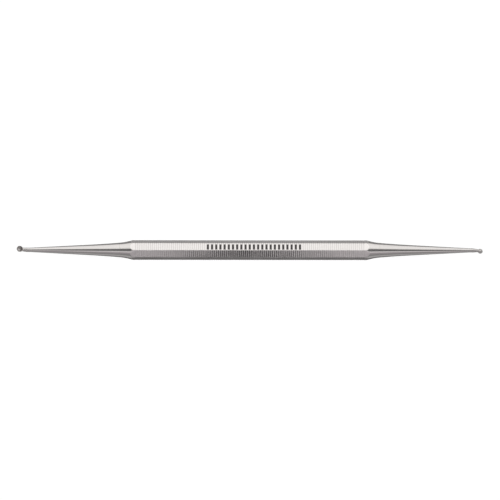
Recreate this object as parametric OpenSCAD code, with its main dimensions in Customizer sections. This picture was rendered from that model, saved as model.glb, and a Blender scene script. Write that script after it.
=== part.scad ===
// Double-ended hand curette: a serrated octagonal handle with a working end brazed into each end.
// The instrument lies along X, with the large cup at -X and the small cup at +X.
// The origin is the middle of the handle, on its axis. Flats of the handle face +Z, -Z, +Y and -Y.
// The large cup opens towards +Z and the small cup opens towards -Z. All sizes are in millimetres.

/* [Overall] */
// Length from the tip of one cup to the tip of the other
overall_length = 145; // [138:1:160]

/* [Handle] */
// Distance between two opposite flats of the octagon
handle_flats = 5.7; // [5.4:0.1:6.4]
// Distance from one serration to the next
serration_pitch = 0.65; // [0.5:0.01:0.66]
// Number of serrations, even so that the middle of the handle is a land
serration_count = 110; // [80:2:110]
// Depth of a serration, the same across every flat
serration_depth = 0.11; // [0.06:0.01:0.14]
// Angle between the two walls of a serration
serration_angle = 90; // [60:5:90]
// Plain length between the last serration and the turned end
plain_margin = 0.5; // [0.1:0.05:1]
// Length of the hollow curve turned on each end of the octagonal bar
turned_length = 4.15; // [3:0.05:5]
// Diameter where the handle meets a shank
mouth_diameter = 4.54; // [4.2:0.02:4.8]

/* [Sockets and tangs] */
// Diameter of the tang that sits in the handle
tang_diameter = 3; // [2.4:0.1:3.4]
// Length of the tang
tang_length = 12; // [8:0.5:20]
// Thickness of the brazing alloy round the tang and under the shoulder
braze_gap = 0.05; // [0.03:0.01:0.1]
// Free depth between the end of the tang and the drill point of its socket
socket_clearance = 0.6; // [0.4:0.1:2]
// Depth of the flat along the tang that lets air out of the socket
vent_depth = 0.15; // [0.1:0.01:0.3]

/* [Working ends] */
// Outside diameter of the large cup
large_cup_diameter = 2; // [1.7:0.02:2.1]
// Diameter of the neck behind the large cup
large_neck_diameter = 1.34; // [1.1:0.02:1.4]
// Outside diameter of the small cup
small_cup_diameter = 1.56; // [1.3:0.02:1.6]
// Diameter of the neck behind the small cup
small_neck_diameter = 1.28; // [1:0.02:1.3]
// Wall of a cup at its rim
cup_wall = 0.12; // [0.1:0.01:0.2]
// Length from the end of a shank's taper to the tip of its cup
neck_length = 4.2; // [4:0.1:5]
// Angle of the bend that lifts a cup off the shank's axis
neck_bend_angle = 7; // [4:1:9]
// Radius of that bend along the middle of the neck
neck_bend_radius = 10; // [8:1:10]
// How much the shank's cone flares out at the handle, on the radius
shank_flare = 0.16; // [0:0.02:0.3]
// Length of that flare
shank_flare_length = 9.6; // [5:0.2:15]

/* [Hidden] */
$fn = 96;

// Handle
flat_distance = handle_flats / 2;
crest_radius = flat_distance / cos(22.5) + 0.04;     // just clear of the octagon's corners
serration_half = serration_depth * tan(serration_angle / 2);
serrated_half = serration_count * serration_pitch / 2;
grip_half = serrated_half + plain_margin;
handle_half = grip_half + turned_length;
mouth_radius = mouth_diameter / 2;
mouth_slope = 0.09;                                  // slope of the turned end at its mouth
turned_curve = (crest_radius - mouth_radius - mouth_slope * turned_length) / pow(turned_length, 2);
turned_steps = 8;

// Sockets and tangs
tang_radius = tang_diameter / 2;
tang_chamfer = 0.3;
socket_radius = tang_radius + braze_gap;
socket_bottom = handle_half + braze_gap - tang_length - socket_clearance;
drill_point_length = socket_radius / tan(59);        // a twist drill's point has a 118 degree angle
shoulder = handle_half + braze_gap;                  // face of the shank that seats on the handle
tang_start = shoulder - tang_length;
past = 1;                                            // how far a cutting shape passes what it cuts

// Shanks and cups
tip = overall_length / 2;
taper_end = tip - neck_length;
taper_length = taper_end - shoulder;
flare_steps = 8;
hollow_lift = 0.08;                                  // raises the hollow, for a cup thicker at its bottom
rim_share = 0.6;                                     // height of a rim above its neck's axis, over the radius
neck_overlap = 0.05;                                 // how far the straight neck starts inside the bend
neck_step = 0.01;                                    // how much thinner it starts than the bend
neck_end_share = 0.7;                                // radius of its end, over the cup's depth below its axis

// Turns shapes drawn along Z to lie along X.
module along_x() {
    rotate([0, 90, 0]) children();
}

// Radius of the turned end at a distance from its mouth.
function turned_radius(distance) = mouth_radius + mouth_slope * distance + turned_curve * pow(distance, 2);

// Half outline of the turned end at +X, from the grip to the mouth.
turned_outline = [for (i = [turned_steps:-1:0])
    let (distance = turned_length * i / turned_steps)
    [turned_radius(distance), handle_half - distance]];

// Half outline of the space the handle fills: a hollow curve at each end, clear of the flats between.
turned_envelope = concat(
    [[0, -handle_half]],
    [for (i = [turned_steps:-1:0]) [turned_outline[i][0], -turned_outline[i][1]]],
    turned_outline,
    [[0, handle_half]]
);

// Edge of one serrated face, seen from its side, from -X to +X.
serrated_edge = concat(
    [[-handle_half - past, flat_distance]],
    [for (i = [0:serration_count - 1])
        let (middle = (i + 0.5) * serration_pitch - serrated_half)
        each [
            [middle - serration_half, flat_distance],
            [middle, flat_distance - serration_depth],
            [middle + serration_half, flat_distance]
        ]],
    [[handle_half + past, flat_distance]]
);

// Slab as thick as the bar is across its flats, with serrations across both of its faces.
module serrated_slab() {
    rotate([90, 0, 0])
        linear_extrude(height = 2 * handle_flats, center = true)
            polygon(concat(
                serrated_edge,
                [for (i = [len(serrated_edge) - 1:-1:0]) [serrated_edge[i][0], -serrated_edge[i][1]]]
            ));
}

// Octagonal bar: what four slabs, an eighth of a turn apart, have in common.
module serrated_bar() {
    intersection_for(turn = [0:45:135])
        rotate([turn, 0, 0]) serrated_slab();
}

// Blind hole for one tang, at the +X end.
module socket() {
    along_x() {
        translate([0, 0, socket_bottom])
            cylinder(r = socket_radius, h = handle_half - socket_bottom + past);
        translate([0, 0, socket_bottom - drill_point_length])
            cylinder(r1 = 0, r2 = socket_radius, h = drill_point_length);
    }
}

// Serrated octagonal bar with a hollow curve turned on each end and a socket in each end.
module handle() {
    color("silver")
        difference() {
            intersection() {
                serrated_bar();
                along_x()
                    rotate_extrude()
                        polygon(turned_envelope);
            }
            for (turn = [0, 180])
                rotate([0, 0, turn]) socket();
        }
}

// Radius of the shank at a distance from its shoulder: a cone that flares out near the handle.
function shank_radius(distance, neck_radius) =
    neck_radius + (mouth_radius - shank_flare - neck_radius) * (1 - distance / taper_length)
    + shank_flare * pow(max(0, 1 - distance / shank_flare_length), 2);

// Half outline of a chamfered tang and the shank that tapers from its shoulder to the neck.
function shank_outline(neck_radius) = concat(
    [[0, tang_start], [tang_radius - tang_chamfer, tang_start], [tang_radius, tang_start + tang_chamfer],
     [tang_radius, shoulder]],
    [for (i = [0:flare_steps])
        let (distance = shank_flare_length * i / flare_steps)
        [shank_radius(distance, neck_radius), shoulder + distance]],
    [[neck_radius, taper_end]],
    [[0, taper_end]]
);

// Bend at the end of the taper, curving from +X towards +Z.
module neck_bend(neck_radius) {
    translate([taper_end, 0, neck_bend_radius])
        rotate([90, 90, 0])
            rotate_extrude(angle = neck_bend_angle)
                translate([neck_bend_radius, 0])
                    circle(r = neck_radius);
}

// Moves its children to the end of the bend, with +X along the neck.
module at_bend_end() {
    translate([taper_end + neck_bend_radius * sin(neck_bend_angle), 0,
               neck_bend_radius * (1 - cos(neck_bend_angle))])
        rotate([0, -neck_bend_angle, 0]) children();
}

// Distance from the end of the bend to the middle of a cup whose tip is at the overall length.
function cup_reach(cup_radius) =
    (neck_length - cup_radius + (rim_height(cup_radius) - neck_bend_radius) * sin(neck_bend_angle))
    / cos(neck_bend_angle);

// Height of a cup's rim above the axis of its neck.
function rim_height(cup_radius) = cup_radius * rim_share;

// Last, straight part of the neck. Its top passes just under the rim, and the rest tapers in under the cup.
module neck(cup_radius, neck_radius) {
    reach = cup_reach(cup_radius);
    start_radius = neck_radius - neck_step;
    back_radius = min(start_radius, rim_height(cup_radius) - neck_step);
    end_radius = (cup_radius - rim_height(cup_radius)) * neck_end_share;
    along_x()
        rotate_extrude()
            polygon([
                [0, -neck_overlap],
                [start_radius, -neck_overlap],
                [back_radius, reach - cup_radius],
                [end_radius, reach],
                [0, reach]
            ]);
}

// Working end at the +X side, its cup opening towards +Z.
module working_end(cup_radius, neck_radius) {
    cup_centre = [cup_reach(cup_radius), 0, rim_height(cup_radius)];
    difference() {
        union() {
            along_x()
                rotate_extrude()
                    polygon(shank_outline(neck_radius));
            neck_bend(neck_radius);
            at_bend_end() {
                neck(cup_radius, neck_radius);
                translate(cup_centre)
                    difference() {
                        sphere(r = cup_radius);
                        cylinder(r = cup_radius + past, h = cup_radius + past);
                    }
            }
        }
        at_bend_end()
            translate(cup_centre + [0, 0, hollow_lift])
                sphere(r = sqrt(pow(cup_radius - cup_wall, 2) + pow(hollow_lift, 2)));
        translate([tang_start - past, tang_radius - vent_depth, -tang_radius])
            cube([tang_length + past, tang_radius, tang_diameter]);
    }
}

module large_working_end() {
    color("gainsboro")
        rotate([0, 0, 180]) working_end(large_cup_diameter / 2, large_neck_diameter / 2);
}

module small_working_end() {
    color("gainsboro")
        rotate([180, 0, 0]) working_end(small_cup_diameter / 2, small_neck_diameter / 2);
}

// Brazing alloy at the +X end: a sleeve round the tang and a washer under the shoulder.
module braze_ring() {
    along_x()
        rotate_extrude()
            polygon([
                [tang_radius, tang_start + tang_chamfer],
                [socket_radius, tang_start + tang_chamfer],
                [socket_radius, handle_half],
                [mouth_radius, handle_half],
                [mouth_radius, shoulder],
                [tang_radius, shoulder]
            ]);
}

module large_end_braze_ring() {
    color("darkkhaki")
        rotate([0, 0, 180]) braze_ring();
}

module small_end_braze_ring() {
    color("darkkhaki") braze_ring();
}

handle();
large_working_end();
small_working_end();
large_end_braze_ring();
small_end_braze_ring();
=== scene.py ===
"""The looks of a double-ended curette: a serrated octagonal handle and two polished working ends.

Lengths in this file are millimetres in the CAD's frame, unless a comment says metres. They become metres
where a mesh, a bump or the camera's lens is made.
"""

import math

import bmesh
import bpy
import numpy as np
from mathutils import Matrix, Vector


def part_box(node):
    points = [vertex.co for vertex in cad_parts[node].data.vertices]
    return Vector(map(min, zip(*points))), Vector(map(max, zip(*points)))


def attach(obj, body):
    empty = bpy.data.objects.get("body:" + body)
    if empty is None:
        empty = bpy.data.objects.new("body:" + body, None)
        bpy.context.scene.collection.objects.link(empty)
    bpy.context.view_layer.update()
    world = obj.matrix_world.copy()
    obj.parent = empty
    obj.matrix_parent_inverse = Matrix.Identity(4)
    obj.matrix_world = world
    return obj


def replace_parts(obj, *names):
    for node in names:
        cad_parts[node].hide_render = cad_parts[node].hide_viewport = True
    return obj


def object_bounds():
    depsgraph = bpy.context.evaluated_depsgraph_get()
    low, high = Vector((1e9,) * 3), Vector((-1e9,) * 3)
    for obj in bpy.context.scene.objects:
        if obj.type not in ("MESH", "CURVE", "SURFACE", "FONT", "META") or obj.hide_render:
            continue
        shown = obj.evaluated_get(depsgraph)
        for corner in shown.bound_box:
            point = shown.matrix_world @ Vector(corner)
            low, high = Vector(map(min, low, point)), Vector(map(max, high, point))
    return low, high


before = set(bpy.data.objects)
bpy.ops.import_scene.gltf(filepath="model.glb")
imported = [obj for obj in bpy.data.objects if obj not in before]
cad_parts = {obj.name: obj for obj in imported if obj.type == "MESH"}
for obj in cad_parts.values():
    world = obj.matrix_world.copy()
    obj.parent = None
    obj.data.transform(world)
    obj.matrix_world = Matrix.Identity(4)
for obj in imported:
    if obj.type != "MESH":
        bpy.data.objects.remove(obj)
cad_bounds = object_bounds()

MM = 0.001


def mm_box(node):
    """Lowest and highest corners of a CAD node, in millimetres."""
    low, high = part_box(node)
    return low / MM, high / MM


# ---------------------------------------------------------------- sizes that the frame gives
HANDLE_HALF = mm_box("handle")[1].x                    # half the handle's length
FLAT = mm_box("handle")[1].z                           # from the axis to a flat of the octagon
MOUTH = mm_box("large_end_braze_ring")[1].z            # radius where the handle meets a shank
SHOULDER = mm_box("small_end_braze_ring")[1].x         # where a shank starts, beyond the brazing alloy
BRAZE_START = mm_box("small_end_braze_ring")[0].x      # inner end of the brazing alloy round a tang
TANG_START = mm_box("small_working_end")[0].x
TIP = mm_box("small_working_end")[1].x

# ---------------------------------------------------------------- sizes that follow the design
OCTAGON_HALF_STEP = math.pi / 8                        # from the middle of a flat to a corner
CORNER_ROUND = 0.12                                    # rounding of the octagon's long edges
SERRATION_PITCH = 0.65
SERRATION_COUNT = 110
SERRATION_DEPTH = 0.11
SERRATION_SLOPE = 1.0                                  # rise of a wall over its width
SERRATION_EDGE = 0.012                                 # rounding of a serration's two edges
SERRATION_BOTTOM = 0.008                               # half width of a serration's blunt bottom
PLAIN_MARGIN = 0.5                                     # between the last serration and the turned end
GRIP_HALF = SERRATION_COUNT * SERRATION_PITCH / 2 + PLAIN_MARGIN
TURNED_LENGTH = HANDLE_HALF - GRIP_HALF
CORNER_CLEARANCE = 0.04                                # from a sharp corner out to the turned curve's top
TURNED_TOP = FLAT / math.cos(OCTAGON_HALF_STEP) + CORNER_CLEARANCE
MOUTH_SLOPE = 0.09                                     # slope of the turned end at its mouth
TURNED_CURVE = (TURNED_TOP - MOUTH - MOUTH_SLOPE * TURNED_LENGTH) / TURNED_LENGTH**2
TURNED_EDGE = 0.05                                     # rounding where the turned end cuts the flats
RIM_EDGE = 0.006                                       # rounding of the mouth's and shoulder's edges
RIM_SUPPORT = 4 * RIM_EDGE                             # from such an edge to the next ring of the mesh

TANG = 1.5                                             # radius
TANG_CHAMFER = 0.3
SOCKET = 1.55                                          # radius
SOCKET_CLEARANCE = 0.6                                 # free depth beyond the tang
DRILL_POINT = SOCKET / math.tan(math.radians(59))      # a twist drill's point has a 118 degree angle
VENT_DEPTH = 0.15                                      # flat along the tang that lets air out

NECK_LENGTH = 4.2                                      # from the end of the taper to the tip
TAPER_END = TIP - NECK_LENGTH
SHANK_FLARE = 0.16                                     # how much the shank's cone flares out at the handle
SHANK_FLARE_LENGTH = 9.6
BEND_ANGLE = math.radians(7)
BEND_RADIUS = 10
CUP_WALL = 0.12                                        # at the rim
HOLLOW_LIFT = 0.08                                     # raises the hollow, for a cup thicker at its bottom
RIM_SHARE = 0.6                                        # from the neck's axis up to the rim, in cup radii
NECK_UNDER_RIM = 0.02                                  # how far the neck's top passes under the rim
NECK_STOP = 1.12                                       # from its last ring to the cup's middle, in cup radii
LARGE_CUP, LARGE_NECK = 1.0, 0.67                      # radii
SMALL_CUP, SMALL_NECK = 0.78, 0.64


# ---------------------------------------------------------------- mesh helpers
FACE_WEIGHT = 90                                       # how far large faces decide the shading at an edge


def add_piece(name, bm, materials):
    """Makes an object from a bmesh drawn in millimetres, smooth shaded, riding on the tool's one body."""
    bmesh.ops.recalc_face_normals(bm, faces=bm.faces)
    bm.transform(Matrix.Scale(MM, 4))
    mesh = bpy.data.meshes.new(name)
    bm.to_mesh(mesh)
    bm.free()
    mesh.shade_smooth()
    for material in materials:
        mesh.materials.append(material)
    piece = bpy.data.objects.new(name, mesh)
    bpy.context.scene.collection.objects.link(piece)
    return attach(piece, "root")


def weight_normals(piece):
    """Keeps flat faces flat in the shading, so that only the narrow roundings between them shade softly."""
    weighted = piece.modifiers.new("flat_faces", "WEIGHTED_NORMAL")
    weighted.weight = FACE_WEIGHT


def join_rings(bm, ring_a, ring_b):
    """Quads between two closed rings with the same number of vertices."""
    count = len(ring_a)
    return [
        bm.faces.new((ring_a[k], ring_a[(k + 1) % count], ring_b[(k + 1) % count], ring_b[k]))
        for k in range(count)
    ]


def close_ring(bm, ring, point):
    """Triangles from a ring to one vertex at a point, which is returned."""
    pole = bm.verts.new(point)
    for k, vertex in enumerate(ring):
        bm.faces.new((vertex, ring[(k + 1) % len(ring)], pole))
    return pole


def place(points, turn):
    """Points drawn for the end at +X, turned into place by a rotation matrix."""
    return [turn @ Vector(point) for point in points]


# ---------------------------------------------------------------- handle
FLAT_COLUMNS = (-1, -0.86, -0.5, -0.25, 0, 0.25, 0.5, 0.7, 1)    # shares of a flat's half width
MARK_COLUMNS = slice(1, 7)                                       # the mark spans these columns of one flat
CORNER_COLUMNS = (-0.5, 0, 0.5)                                  # shares of a rounded corner's half angle
FLAT_STRAIGHT = (FLAT - CORNER_ROUND) * math.tan(OCTAGON_HALF_STEP)
MARK_FIRST, MARK_LAST = -13.0, 15.6                              # x at the two ends of the etched row
ETCHED, POLISHED = 1, 2                                          # places in the handle's list of materials


def handle_columns():
    """Angle round the axis and radius of each long line of the octagon, from the flat that faces +Z."""
    corner_centre = (FLAT - CORNER_ROUND) / math.cos(OCTAGON_HALF_STEP)
    corner_half_angle = OCTAGON_HALF_STEP - math.atan2(FLAT_STRAIGHT, FLAT)
    columns = []
    for flat in range(8):
        middle = flat * 2 * OCTAGON_HALF_STEP
        for share in FLAT_COLUMNS:
            across = share * FLAT_STRAIGHT
            columns.append((middle + math.atan2(across, FLAT), math.hypot(across, FLAT)))
        for share in CORNER_COLUMNS:
            off = share * corner_half_angle
            reach = math.sqrt(CORNER_ROUND**2 - (corner_centre * math.sin(off)) ** 2)
            columns.append((middle + OCTAGON_HALF_STEP + off, corner_centre * math.cos(off) + reach))
    return np.array(columns).T


def serration_rows(centre, bar):
    """Rows of (x, radius, depth) across one V-shaped serration. bar is the octagon's radius per column."""
    half = SERRATION_DEPTH / SERRATION_SLOPE
    rows = []
    for side in (-1, 1):
        wall = [(centre + side * (half + SERRATION_EDGE), bar, 0.0)]
        for across in (half - SERRATION_EDGE, SERRATION_BOTTOM):
            sunk = SERRATION_SLOPE * (half - across)
            wall.append((centre + side * across, bar * (1 - sunk / FLAT), sunk / SERRATION_DEPTH))
        rows += wall if side < 0 else wall[::-1]
    return rows


def turned_radius(x):
    """Radius of the hollow curve turned on the bar's end, at +X."""
    distance = HANDLE_HALF - x
    return MOUTH + MOUTH_SLOPE * distance + TURNED_CURVE * distance**2


def turned_cut(bar):
    """Where the turned curve meets the octagon, at each column."""
    root = np.sqrt(MOUTH_SLOPE**2 + 4 * TURNED_CURVE * (bar - MOUTH))
    return HANDLE_HALF - (root - MOUTH_SLOPE) / (2 * TURNED_CURVE)


def turned_end_rows(bar):
    """Rows of (x, radius, depth) from the last land over the turned end and down into the socket, at +X."""
    ones = np.ones_like(bar)
    cut = turned_cut(bar)
    start, end = cut + TURNED_EDGE, HANDLE_HALF - RIM_SUPPORT
    steps = 12
    rows = [(cut - TURNED_EDGE, bar, 0.0)]
    for i in range(steps + 1):
        x = start + (end - start) * i / steps
        rows.append((x, turned_radius(x), 0.0))
    rows += [
        ((HANDLE_HALF - RIM_EDGE) * ones, MOUTH * ones, 0.0),
        (HANDLE_HALF * ones, (MOUTH - RIM_EDGE) * ones, 0.0),
        (HANDLE_HALF * ones, (SOCKET + RIM_EDGE) * ones, 0.0),
        ((HANDLE_HALF - RIM_EDGE) * ones, SOCKET * ones, 0.0),
        ((TANG_START - SOCKET_CLEARANCE) * ones, SOCKET * ones, 0.0),
    ]
    return rows


def etched_lands():
    """Numbers of the lands that carry an etched bar: every second land between the mark's ends."""
    def land_at(x):
        return round(x / SERRATION_PITCH + (SERRATION_COUNT - 2) / 2)
    return range(land_at(MARK_FIRST), land_at(MARK_LAST) + 1, 2)


def colour_handle(strips, turned_strips, strips_each):
    """Gives the turned ends and the etched bars their steel. A bar also covers the walls beside its land."""
    for strip in strips[:turned_strips] + strips[-turned_strips:]:
        for face in strip:
            face.material_index = POLISHED
    edge_and_wall = 2
    for land in etched_lands():
        land_strip = turned_strips + strips_each * (land + 1)
        for strip in strips[land_strip - edge_and_wall:land_strip + edge_and_wall + 1]:
            for face in strip[MARK_COLUMNS]:
                face.material_index = ETCHED


def build_handle(steel, etched, polished):
    """Serrated octagonal bar with a hollow curve turned on each end and a blind socket in each end."""
    angle, bar = handle_columns()
    small_end_rows = turned_end_rows(bar)
    rows = [(-x, radius, depth) for x, radius, depth in reversed(small_end_rows)]
    for i in range(SERRATION_COUNT):
        centre = (i - (SERRATION_COUNT - 1) / 2) * SERRATION_PITCH
        rows += serration_rows(centre, bar)
    rows += small_end_rows

    bm = bmesh.new()
    # each vertex keeps its depth in a serration, which the satin steel turns into painted shade in the
    # grooves
    groove = bm.verts.layers.float.new("groove")
    rings = []
    for x, radius, depth in rows:
        y, z = radius * np.sin(angle), radius * np.cos(angle)
        ring = [bm.verts.new(point) for point in zip(np.broadcast_to(x, y.shape), y, z)]
        for vertex in ring:
            vertex[groove] = depth
        rings.append(ring)
    strips = [join_rings(bm, a, b) for a, b in zip(rings, rings[1:])]
    drill_tip = TANG_START - SOCKET_CLEARANCE - DRILL_POINT
    close_ring(bm, rings[0], (-drill_tip, 0, 0))
    close_ring(bm, rings[-1], (drill_tip, 0, 0))
    colour_handle(strips, len(small_end_rows) - 1, len(serration_rows(0, bar)))

    piece = add_piece("handle_bar", bm, [steel, etched, polished])
    weight_normals(piece)
    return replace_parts(piece, "handle")


# ---------------------------------------------------------------- working ends
RING_COUNT = 16
SMOOTHING = 3 / (2 + math.cos(2 * math.pi / RING_COUNT))   # a subdivided ring shrinks by this factor
SUBDIVISIONS = 3
HOLLOW = 1                                              # place of the hollow's steel in the list of materials
NECK_DULLNESS, CUP_DULLNESS, HOLLOW_DULLNESS = 0.25, 0.5, 1.0    # "matt" values; the neck's dirt is the same
CUP_DIRT, HOLLOW_SHADE, HOLLOW_BOTTOM_SHADE = 0.3, 0.2, 0.6        # "groove" values: dirt outside, painted shade in the hollow, 1 more beside the neck
CUP_RINGS = (0.2, 0.4, 0.6, 0.8, 0.97)                  # shares of the angle from a cup's bottom to its rim


def tube_ring(radius):
    """Offsets (y, z) of a ring that has the given radius once subdivided, from +Z and round by +Y."""
    turns = [2 * math.pi * k / RING_COUNT for k in range(RING_COUNT)]
    return [(radius * SMOOTHING * math.sin(a), radius * SMOOTHING * math.cos(a)) for a in turns]


def shank_radius(distance, neck):
    """Radius of the shank at a distance from its shoulder: a cone that flares out near the handle."""
    cone = neck + (MOUTH - SHANK_FLARE - neck) * (1 - distance / (TAPER_END - SHOULDER))
    return cone + SHANK_FLARE * max(0.0, 1 - distance / SHANK_FLARE_LENGTH) ** 2


def shank_stations(neck):
    """(x, radius, sharp) along the tang and the shank, from the tang's inner end to the end of the taper."""
    stations = [
        (TANG_START, TANG - TANG_CHAMFER, True),
        (TANG_START + TANG_CHAMFER, TANG, True),
        (SHOULDER, TANG, True),
        (SHOULDER, MOUTH - RIM_EDGE, False),
        (SHOULDER + RIM_EDGE, MOUTH, False),
        (SHOULDER + RIM_SUPPORT, shank_radius(RIM_SUPPORT, neck), False),
    ]
    steps = 20
    for i in range(1, steps + 1):
        distance = (TAPER_END - SHOULDER) * i / steps
        stations.append((SHOULDER + distance, shank_radius(distance, neck), False))
    return stations


def shank_rings(neck):
    """(points, dullness, sharp) of each ring of the tang, with its vent flat, and of the shank."""
    for x, radius, sharp in shank_stations(neck):
        points = [(x, y, z) for y, z in tube_ring(radius)]
        if x <= SHOULDER and radius <= TANG:
            points = [(x, min(y, TANG - VENT_DEPTH), z) for x, y, z in points]
        yield points, 0.0, sharp


def bend_rings(neck):
    """The same for the bend, which curves from +X towards +Z."""
    bend_centre = Vector((TAPER_END, 0, BEND_RADIUS))
    steps = 4
    for i in range(1, steps + 1):
        tilt = Matrix.Rotation(-BEND_ANGLE * i / steps, 4, "Y")
        points = [bend_centre + tilt @ Vector((0, y, z - BEND_RADIUS)) for y, z in tube_ring(neck)]
        yield points, NECK_DULLNESS * i / steps, False


def neck_rings(neck, rim_height, length, bend_end):
    """The same for the straight neck, which thins towards the cup so that its top passes under the rim."""
    steps = 3
    for i in range(1, steps + 1):
        share = i / steps
        radius = neck + (rim_height - NECK_UNDER_RIM - neck) * share
        points = [bend_end @ Vector((share * length, y, z)) for y, z in tube_ring(radius)]
        yield points, NECK_DULLNESS, False


def build_working_end(name, node, cup, neck, turn, materials):
    """Tang, tapering shank, bent neck and round cup in one piece. Drawn at +X with the cup open to +Z."""
    rim_height = RIM_SHARE * cup
    reach = (NECK_LENGTH - cup + (rim_height - BEND_RADIUS) * math.sin(BEND_ANGLE)) / math.cos(BEND_ANGLE)
    bend_end = (Matrix.Translation((TAPER_END + BEND_RADIUS * math.sin(BEND_ANGLE), 0,
                                    BEND_RADIUS * (1 - math.cos(BEND_ANGLE))))
                @ Matrix.Rotation(-BEND_ANGLE, 4, "Y"))
    to_cup = bend_end @ Matrix.Translation((reach, 0, rim_height))

    bm = bmesh.new()
    crease = bm.edges.layers.float.new("crease_edge")
    groove = bm.verts.layers.float.new("groove")
    matt = bm.verts.layers.float.new("matt")
    rings, sharp_rings = [], []
    for points, dullness, sharp in (*shank_rings(neck), *bend_rings(neck),
                                    *neck_rings(neck, rim_height, reach - NECK_STOP * cup, bend_end)):
        ring = [bm.verts.new(point) for point in place(points, turn)]
        for vertex in ring:
            vertex[groove] = vertex[matt] = dullness
        if rings:
            join_rings(bm, rings[-1], ring)
        if sharp:
            sharp_rings.append(ring)
        rings.append(ring)
    close_ring(bm, rings[0], turn @ Vector((TANG_START, 0, 0)))
    add_cup(bm, cup, turn @ to_cup, rings[-1])

    for ring in sharp_rings:
        for k, vertex in enumerate(ring):
            bm.edges.get((vertex, ring[(k + 1) % RING_COUNT]))[crease] = 1.0
    piece = add_piece(name, bm, materials)
    smooth = piece.modifiers.new("smooth", "SUBSURF")
    smooth.levels = smooth.render_levels = SUBDIVISIONS
    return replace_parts(piece, node)


def hollow_radius(cup):
    """Radius of the ball that leaves the wall at the rim, with its middle lifted above the rim."""
    return math.hypot(cup - CUP_WALL, HOLLOW_LIFT)


def cup_profile(cup):
    """(radius, z) of a cup's rings from the bottom of its hollow, over the rim and down its outside."""
    hollow = hollow_radius(cup)
    rim_angle = math.acos(HOLLOW_LIFT / hollow)
    lip = CUP_WALL / 6
    inside = [(hollow * math.sin(share * rim_angle), HOLLOW_LIFT - hollow * math.cos(share * rim_angle))
              for share in CUP_RINGS]
    rim = [(cup - CUP_WALL + lip, 0), (cup - lip, 0)]
    outside = [(cup * math.sin(share * math.pi / 2), -cup * math.cos(share * math.pi / 2))
               for share in reversed(CUP_RINGS)]
    return inside + rim + outside


def add_cup(bm, cup, to_cup, neck_ring):
    """A round cup whose outside flows into the neck's last ring. to_cup places it: z out of its mouth."""
    turns = [2 * math.pi * k / RING_COUNT for k in range(RING_COUNT)]
    grid = []
    for radius, z in cup_profile(cup):
        wide = radius * SMOOTHING
        points = [to_cup @ Vector((wide * math.cos(a), wide * math.sin(a), z)) for a in turns]
        grid.append([bm.verts.new(point) for point in points])
    hollow_rings, outside = len(CUP_RINGS), len(CUP_RINGS) + 2

    groove, matt = bm.verts.layers.float["groove"], bm.verts.layers.float["matt"]
    # the hollow is darkened with painted shade, most at its bottom and on the neck side; the rim and outside
    # get an even dirt
    for row, ring in enumerate(grid):
        for around, vertex in zip(turns, ring):
            near_neck = 0.5 - 0.5 * math.cos(around)
            vertex[groove] = HOLLOW_SHADE + near_neck if row < hollow_rings else CUP_DIRT
            vertex[matt] = HOLLOW_DULLNESS if row < hollow_rings else CUP_DULLNESS
    bottom_inside = close_ring(bm, grid[0], to_cup @ Vector((0, 0, HOLLOW_LIFT - hollow_radius(cup))))
    bottom_outside = close_ring(bm, grid[-1], to_cup @ Vector((0, 0, -cup)))
    bottom_inside[groove], bottom_inside[matt] = HOLLOW_BOTTOM_SHADE, HOLLOW_DULLNESS
    bottom_outside[groove], bottom_outside[matt] = CUP_DIRT, CUP_DULLNESS
    for face in bottom_inside.link_faces:
        face.material_index = HOLLOW

    # the neck takes the place of four by four faces at the back of the outside
    back = RING_COUNT // 2
    left, right = back + 2, back - 2
    for row, (ring_a, ring_b) in enumerate(zip(grid, grid[1:])):
        for k in range(RING_COUNT):
            under_neck = row >= outside and right <= k < left
            if not under_neck:
                n = (k + 1) % RING_COUNT
                face = bm.faces.new((ring_a[k], ring_a[n], ring_b[n], ring_b[k]))
                face.material_index = HOLLOW if row < hollow_rings - 1 else 0

    # the hole's edge, from the middle of its top and round by +Y, as the neck's rings go
    top, bottom = outside, len(grid) - 1
    edge = [grid[top][k] for k in range(back, right, -1)]
    edge += [grid[row][right] for row in range(top, bottom)]
    edge += [grid[bottom][k] for k in range(right, left)]
    edge += [grid[row][left] for row in range(bottom, top, -1)]
    edge += [grid[top][k] for k in range(left, back, -1)]
    join_rings(bm, neck_ring, edge)


# ---------------------------------------------------------------- brazed joints
def build_braze_ring(name, node, turn, material):
    """Brazing alloy: a sleeve round the tang and a washer under the shoulder, its outer edges rounded."""
    sides = 96
    rounding = (SHOULDER - HANDLE_HALF) / 4
    outline = [
        (BRAZE_START, TANG),
        (BRAZE_START, SOCKET),
        (HANDLE_HALF, SOCKET),
        (HANDLE_HALF, MOUTH - rounding),
        (HANDLE_HALF + rounding, MOUTH),
        (SHOULDER - rounding, MOUTH),
        (SHOULDER, MOUTH - rounding),
        (SHOULDER, TANG),
    ]
    turns = [2 * math.pi * k / sides for k in range(sides)]
    bm = bmesh.new()
    rings = []
    for x, radius in outline:
        points = [(x, radius * math.sin(a), radius * math.cos(a)) for a in turns]
        rings.append([bm.verts.new(point) for point in place(points, turn)])
    for ring_a, ring_b in zip(rings, rings[1:] + rings[:1]):
        join_rings(bm, ring_a, ring_b)
    piece = add_piece(name, bm, [material])
    weight_normals(piece)
    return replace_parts(piece, node)


# ---------------------------------------------------------------- materials
MOST_NOISE, MIDDLE_NOISE = (0.3, 0.7), (0.35, 0.65)     # a noise's values that are spread over a whole range
# the colour that grooves are darkened towards: painted shade in the serrations and the cups' hollows, dirt on
# the necks and the cups' outsides
SHADE_AND_DIRT = (0.16, 0.145, 0.14, 1)
WEAR_CLOUDS = (90.0, 260.0, 260.0)                      # features in a metre along X, Y and Z
GRAIN_TONE, CLOUD_TONE = 0.6, 0.4                       # shares in the steel's tone
OXIDE_DARK, OXIDE_LIGHT = (0.07, 0.065, 0.065, 1), (0.15, 0.14, 0.14, 1)
OXIDE_GRAIN = (9000.0, 9000.0, 9000.0)                  # features in a metre
OXIDE_DEPTH = 0.002
OXIDE_ROUGH = (0.45, 0.65)
OXIDE_METALLIC = 0.3


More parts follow.
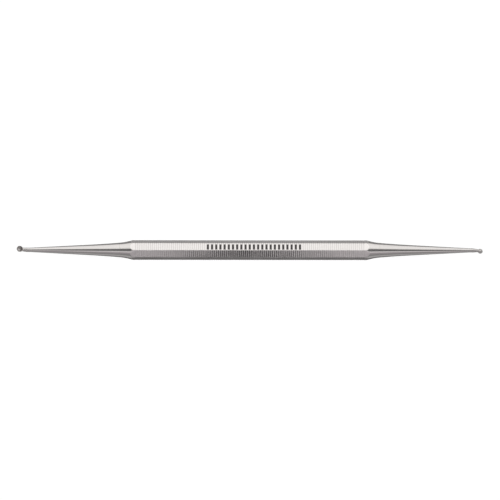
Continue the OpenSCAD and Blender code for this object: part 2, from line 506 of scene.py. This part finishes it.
class Shader:
    """A node material or world with short calls for the few kinds of node used here."""

    def __init__(self, owner):
        owner.use_nodes = True
        self.tree = owner.node_tree

    def node(self, kind, inputs=(), **settings):
        """A new node. inputs is a dict of socket name or number to a value or another node's socket."""
        made = self.tree.nodes.new(kind)
        for key, value in settings.items():
            setattr(made, key, value)
        for key, value in dict(inputs).items():
            self.connect(value, made.inputs[key])
        return made

    def connect(self, value, socket):
        """Links another node's socket to this one, or gives it a plain value."""
        if isinstance(value, bpy.types.NodeSocket):
            self.tree.links.new(value, socket)
        else:
            socket.default_value = value

    def math(self, operation, a, b=0.0):
        """The result of one operation on two numbers."""
        return self.node("ShaderNodeMath", {0: a, 1: b}, operation=operation).outputs[0]

    def noise(self, stretch, detail=2.0, roughness=0.5):
        """Noise between 0 and 1. stretch is how many features there are in a metre along X, Y and Z."""
        spot = self.node("ShaderNodeTexCoord").outputs["Object"]
        scaled = self.node("ShaderNodeVectorMath", {0: spot, 1: stretch}, operation="MULTIPLY").outputs[0]
        settings = {"Vector": scaled, "Scale": 1.0, "Detail": detail, "Roughness": roughness}
        return self.node("ShaderNodeTexNoise", settings).outputs[0]

    def spread(self, value, low, high, to_low, to_high):
        """value remapped from one range to another, held at the ends."""
        inputs = {"Value": value, "From Min": low, "From Max": high, "To Min": to_low, "To Max": to_high}
        return self.node("ShaderNodeMapRange", inputs).outputs[0]

    def blend(self, share, colour_a, colour_b):
        """The first colour where share is 0 and the second where it is 1."""
        made = self.node("ShaderNodeMix", data_type="RGBA")
        for number, value in ((0, share), (6, colour_a), (7, colour_b)):
            self.connect(value, made.inputs[number])
        return made.outputs[2]

    def attribute(self, name, gain):
        """A value that each vertex of the mesh holds, times a gain."""
        stored = self.node("ShaderNodeAttribute", attribute_name=name).outputs["Fac"]
        return self.math("MULTIPLY", stored, gain)

    def metal(self, colour, rough, metallic, height, depth):
        """Connects the surface of a metal. depth is the bump's height in millimetres where height is 1."""
        surface = self.tree.nodes["Principled BSDF"]
        bump = self.node("ShaderNodeBump", {"Strength": 1.0, "Distance": depth * MM, "Height": height})
        self.connect(colour, surface.inputs["Base Color"])
        self.connect(rough, surface.inputs["Roughness"])
        self.connect(bump.outputs[0], surface.inputs["Normal"])
        self.connect(metallic, surface.inputs["Metallic"])


def steel_material(name, dark, light, grain_stretch, polish, grain_depth, groove_shade_and_dirt=0.0, matt_rough=0.0):
    """Stainless steel with directional grain, soft clouds of wear, painted shade and dirt in the grooves, and
    duller places.

    polish is the roughness at the grain's two ends and what the clouds add to it. The last two arguments say
    how strongly the mesh's "groove" and "matt" values darken it and roughen it: painted shade in the
    serrations and the cups' hollows, dirt on the neck and the cup's outside.
    """
    material = bpy.data.materials.new(name)
    shader = Shader(material)
    grain = shader.noise(grain_stretch, detail=4.0, roughness=0.6)
    clouds = shader.noise(WEAR_CLOUDS, detail=3.0)
    tone = shader.math("ADD", shader.spread(grain, *MOST_NOISE, 0.0, GRAIN_TONE),
                       shader.spread(clouds, *MOST_NOISE, 0.0, CLOUD_TONE))
    colour = shader.blend(tone, dark, light)
    rough_low, rough_high, rough_clouds = polish
    rough = shader.math("ADD", shader.spread(grain, *MOST_NOISE, rough_low, rough_high),
                        shader.spread(clouds, *MIDDLE_NOISE, 0.0, rough_clouds))
    if groove_shade_and_dirt:
        # darkening by the "groove" values: painted shade in the serrations and hollows, dirt on the neck and
        # the cup's outside
        colour = shader.blend(shader.attribute("groove", groove_shade_and_dirt), colour, SHADE_AND_DIRT)
    if matt_rough:
        rough = shader.math("ADD", rough, shader.attribute("matt", matt_rough))
    shader.metal(colour, rough, 1.0, grain, grain_depth)
    return material


def etched_material():
    """The dark, matt oxide that a laser leaves on steel, slightly speckled."""
    material = bpy.data.materials.new("etched_oxide")
    shader = Shader(material)
    speckle = shader.noise(OXIDE_GRAIN, detail=3.0)
    colour = shader.blend(shader.spread(speckle, *MIDDLE_NOISE, 0.0, 1.0), OXIDE_DARK, OXIDE_LIGHT)
    rough = shader.spread(speckle, *MOST_NOISE, *OXIDE_ROUGH)
    shader.metal(colour, rough, OXIDE_METALLIC, speckle, OXIDE_DEPTH)
    return material


# ---------------------------------------------------------------- studio
SKY_GAIN = 1.5
AMBIENT = 0.2                                           # light that falls on the floor
FLOOR_GLOW = 0.85                                       # light that the floor gives off, like a light table
FLOOR_HALF = 3.0                                        # metres
FLOOR_DARK, FLOOR_LIGHT = (0.90, 0.90, 0.90, 1), (0.92, 0.92, 0.92, 1)
FLOOR_MOTTLE = (40.0, 40.0, 40.0)                       # features in a metre
WHITE = (1, 1, 1, 1)
WARM, NEUTRAL, COOL = (1.0, 0.978, 0.958), (1.0, 0.98, 0.975), (1.0, 0.93, 0.955)
SKY_BANDS = (                                           # degrees up from the front horizon, brightness, tint
    (-180, 0.24, NEUTRAL), (-170, 0.24, NEUTRAL), (-162, 0.46, NEUTRAL), (-148, 0.46, NEUTRAL),
    (-138, 0.18, NEUTRAL), (-67, 0.10, COOL), (-55, 0.48, NEUTRAL), (-47, 0.60, NEUTRAL),
    (-21, 0.60, NEUTRAL), (-11, 0.33, NEUTRAL), (-3, 0.30, NEUTRAL), (7, 0.47, COOL),
    (24, 0.47, COOL), (38, 0.92, COOL), (48, 0.92, NEUTRAL), (55, 0.20, NEUTRAL), (83, 0.18, NEUTRAL),
    (90, 1.24, WARM), (114, 1.44, WARM), (168, 1.30, WARM), (175, 0.50, WARM), (180, 0.24, NEUTRAL),
)

# Towards the tool's two ends the bands fade into an evener light, for the walls of the serrations to mirror.
SIDE_RANGE = (0.55, 0.95)                               # a direction's share along X at the fade's two ends
BAND_RANGE, EVEN_RANGE = (0.2, 0.6), (0.35, 0.85)       # the bands' brightness, and what it is evened to
FRONT_RANGE, FRONT_GAIN = (-0.45, -0.1), (4.5, 0.9)     # a direction's share along Y, and the gain there

# The dark opening at the front of a light tent, in metres
OPENING_HALF = 0.018
OPENING_DISTANCE = 0.032                                # from the middle of the tool
OPENING_ASIDE = -0.001
OPENING_TILT = math.radians(21.5)                       # up from the horizon; the front facet mirrors it
DARKNESS = (0.02, 0.02, 0.02, 1)
SLANT_RANGE = (0.6, 0.85)                               # cosine of the slant: clear below, dark above


def stage_square(name, half, standing=False):
    """A plain square for the stage, with half its side in metres, lying flat or standing and facing -Y."""
    corners = [(-half, -half), (half, -half), (half, half), (-half, half)]
    mesh = bpy.data.meshes.new(name)
    mesh.from_pydata([(a, 0, b) if standing else (a, b, 0) for a, b in corners], [], [(0, 1, 2, 3)])
    square = bpy.data.objects.new(name, mesh)
    bpy.context.scene.collection.objects.link(square)
    return square


def darkness_material():
    """Dark where it is looked at squarely, and clear at a slant, so that it fades out in other views."""
    material = bpy.data.materials.new("darkness")
    shader = Shader(material)
    geometry = shader.node("ShaderNodeNewGeometry").outputs
    facing = shader.node("ShaderNodeVectorMath", {0: geometry["Incoming"], 1: geometry["Normal"]},
                         operation="DOT_PRODUCT").outputs["Value"]
    share = shader.spread(shader.math("ABSOLUTE", facing), *SLANT_RANGE, 0.0, 1.0)
    clear = shader.node("ShaderNodeBsdfTransparent").outputs[0]
    dark = shader.node("ShaderNodeBsdfDiffuse", {"Color": DARKNESS}).outputs[0]
    seen = shader.node("ShaderNodeMixShader", {0: share, 1: clear, 2: dark}).outputs[0]
    shader.connect(seen, shader.tree.nodes["Material Output"].inputs[0])
    return material


def build_opening():
    """The tent's dark opening. Only metal mirrors it, in the middle of the front facet."""
    opening = stage_square("tent_opening", OPENING_HALF, standing=True)
    opening.location = (OPENING_ASIDE, -OPENING_DISTANCE * math.cos(OPENING_TILT),
                        OPENING_DISTANCE * math.sin(OPENING_TILT))
    opening.rotation_euler.x = -OPENING_TILT
    opening.visible_camera = opening.visible_diffuse = opening.visible_shadow = False
    opening.data.materials.append(darkness_material())


def add_turntable(camera):
    """An empty that turns with the camera's heading, and keeps the sky's front on the camera's side."""
    turntable = bpy.data.objects.new("turntable", None)
    bpy.context.scene.collection.objects.link(turntable)
    follow = turntable.constraints.new("COPY_ROTATION")
    follow.target = camera
    follow.use_x = follow.use_y = False
    return turntable


def build_world(camera):
    """Soft studio light as a plain gradient that faces the camera: a broad bright canopy above and behind the
    tool, a dark gap where the camera stands, and mid grey in front and below. Metal mirrors the gradient.
    The floor gets an even light, and the camera sees an even pale backdrop."""
    world = bpy.data.worlds.new("studio")
    world.cycles.sampling_method = "NONE"
    bpy.context.scene.world = world
    shader = Shader(world)
    direction = shader.node("ShaderNodeTexCoord", object=add_turntable(camera)).outputs["Object"]
    axes = shader.node("ShaderNodeSeparateXYZ", {0: direction}).outputs
    turn = shader.math("ARCTAN2", axes[2], shader.math("MULTIPLY", axes[1], -1.0))
    share = shader.math("ADD", shader.math("DIVIDE", turn, 2 * math.pi), 0.5)
    ramp_node = shader.node("ShaderNodeValToRGB", {0: share})
    stops = ramp_node.color_ramp.elements
    for degrees, brightness, tint in SKY_BANDS:
        at_end = {-180: stops[0], 180: stops[len(stops) - 1]}
        stop = at_end.get(degrees) or stops.new((degrees + 180) / 360)
        stop.color = [brightness / SKY_GAIN * part for part in tint] + [1.0]

    side = shader.math("ABSOLUTE", axes[0])
    side_light = shader.spread(ramp_node.outputs[0], *BAND_RANGE, *EVEN_RANGE)
    front_gain = shader.spread(axes[1], *FRONT_RANGE, *FRONT_GAIN)
    fade = shader.spread(side, *SIDE_RANGE, 1.0, shader.math("MULTIPLY", side_light, front_gain))
    background = shader.tree.nodes["Background"]
    shader.connect(ramp_node.outputs[0], background.inputs[0])
    shader.connect(shader.math("MULTIPLY", fade, SKY_GAIN), background.inputs[1])

    rays = shader.node("ShaderNodeLightPath").outputs
    even = shader.node("ShaderNodeBackground", {0: WHITE, 1: AMBIENT})
    backdrop = shader.node("ShaderNodeBackground", {0: WHITE, 1: 1.0})
    on_floor = shader.node("ShaderNodeMixShader",
                           {0: rays["Is Diffuse Ray"], 1: background.outputs[0], 2: even.outputs[0]})
    seen = shader.node("ShaderNodeMixShader",
                       {0: rays["Is Camera Ray"], 1: on_floor.outputs[0], 2: backdrop.outputs[0]})
    shader.connect(seen.outputs[0], shader.tree.nodes["World Output"].inputs[0])


def floor_material():
    """Pale matt paint that glows a little, with the faintest mottle."""
    material = bpy.data.materials.new("floor_paint")
    shader = Shader(material)
    surface = shader.tree.nodes["Principled BSDF"].inputs
    mottle = shader.noise(FLOOR_MOTTLE, detail=3.0)
    shader.connect(shader.blend(mottle, FLOOR_DARK, FLOOR_LIGHT), surface["Base Color"])
    shader.connect(0.9, surface["Roughness"])
    shader.connect(0.0, surface["Specular IOR Level"])
    shader.connect(WHITE, surface["Emission Color"])
    shader.connect(FLOOR_GLOW, surface["Emission Strength"])
    return material


def build_floor():
    """A plain pale floor under the resting flat. Metal doesn't mirror it: the gradient stands in for it."""
    floor = stage_square("floor", FLOOR_HALF)
    floor.location.z = cad_bounds[0][2]
    floor.visible_glossy = False
    floor.data.materials.append(floor_material())


def build_camera():
    """A long lens square to the tool's length, looking steeply down and rolled a hair anticlockwise."""
    elevation = math.radians(68.5)
    roll = math.radians(0.07)
    distance = 1.2                                      # metres
    frame_share = 0.932                                 # of the picture's width that the tool's length fills
    data = bpy.data.cameras.new("camera")
    data.sensor_width = 36
    data.lens = data.sensor_width * distance * frame_share / (2 * TIP * MM)
    data.shift_x, data.shift_y = 0.0005, 0.0002         # the tool sits a hair left of and below the middle
    data.clip_start = 0.01
    data.clip_end = 50
    camera = bpy.data.objects.new("camera", data)
    camera.location = (0, -distance * math.cos(elevation), distance * math.sin(elevation))
    camera.rotation_mode = "ZYX"
    camera.rotation_euler = (math.pi / 2 - elevation, 0, roll)
    bpy.context.scene.collection.objects.link(camera)
    bpy.context.scene.camera = camera
    return camera


# ---------------------------------------------------------------- the scene
# the serrations darken with their depth: painted shade
satin_steel = steel_material("satin_steel", (0.62, 0.605, 0.60, 1), (0.72, 0.71, 0.705, 1),
                             grain_stretch=(150.0, 12000.0, 12000.0), polish=(0.24, 0.32, 0.05),
                             grain_depth=0.0006, groove_shade_and_dirt=0.3)
polished_steel = steel_material("polished_steel", (0.52, 0.51, 0.505, 1), (0.59, 0.58, 0.575, 1),
                                grain_stretch=(9000.0, 500.0, 500.0), polish=(0.10, 0.14, 0.05),
                                grain_depth=0.0002, groove_shade_and_dirt=0.6, matt_rough=0.5)
# the cup's hollow: its darkening is painted shade
milled_steel = steel_material("milled_steel", (0.76, 0.745, 0.735, 1), (0.84, 0.825, 0.815, 1),
                              grain_stretch=(6000.0, 6000.0, 6000.0), polish=(0.56, 0.62, 0.05),
                              grain_depth=0.001, groove_shade_and_dirt=0.75)
braze_alloy = steel_material("braze_alloy", (0.54, 0.52, 0.48, 1), (0.62, 0.60, 0.56, 1),
                             grain_stretch=(3000.0, 900.0, 900.0), polish=(0.12, 0.16, 0.05),
                             grain_depth=0.0005)

at_small_end = Matrix.Identity(4)
at_large_end = Matrix.Rotation(math.pi, 4, "Z")
upside_down = Matrix.Rotation(math.pi, 4, "X")          # at the small end, with the cup open to -Z

build_handle(satin_steel, etched_material(), polished_steel)
end_steels = [polished_steel, milled_steel]
build_working_end("large_cup_shank", "large_working_end", LARGE_CUP, LARGE_NECK, at_large_end, end_steels)
build_working_end("small_cup_shank", "small_working_end", SMALL_CUP, SMALL_NECK, upside_down, end_steels)
build_braze_ring("large_end_seam", "large_end_braze_ring", at_large_end, braze_alloy)
build_braze_ring("small_end_seam", "small_end_braze_ring", at_small_end, braze_alloy)

build_floor()
build_opening()
build_world(build_camera())
bpy.context.scene.view_settings.view_transform = "Standard"
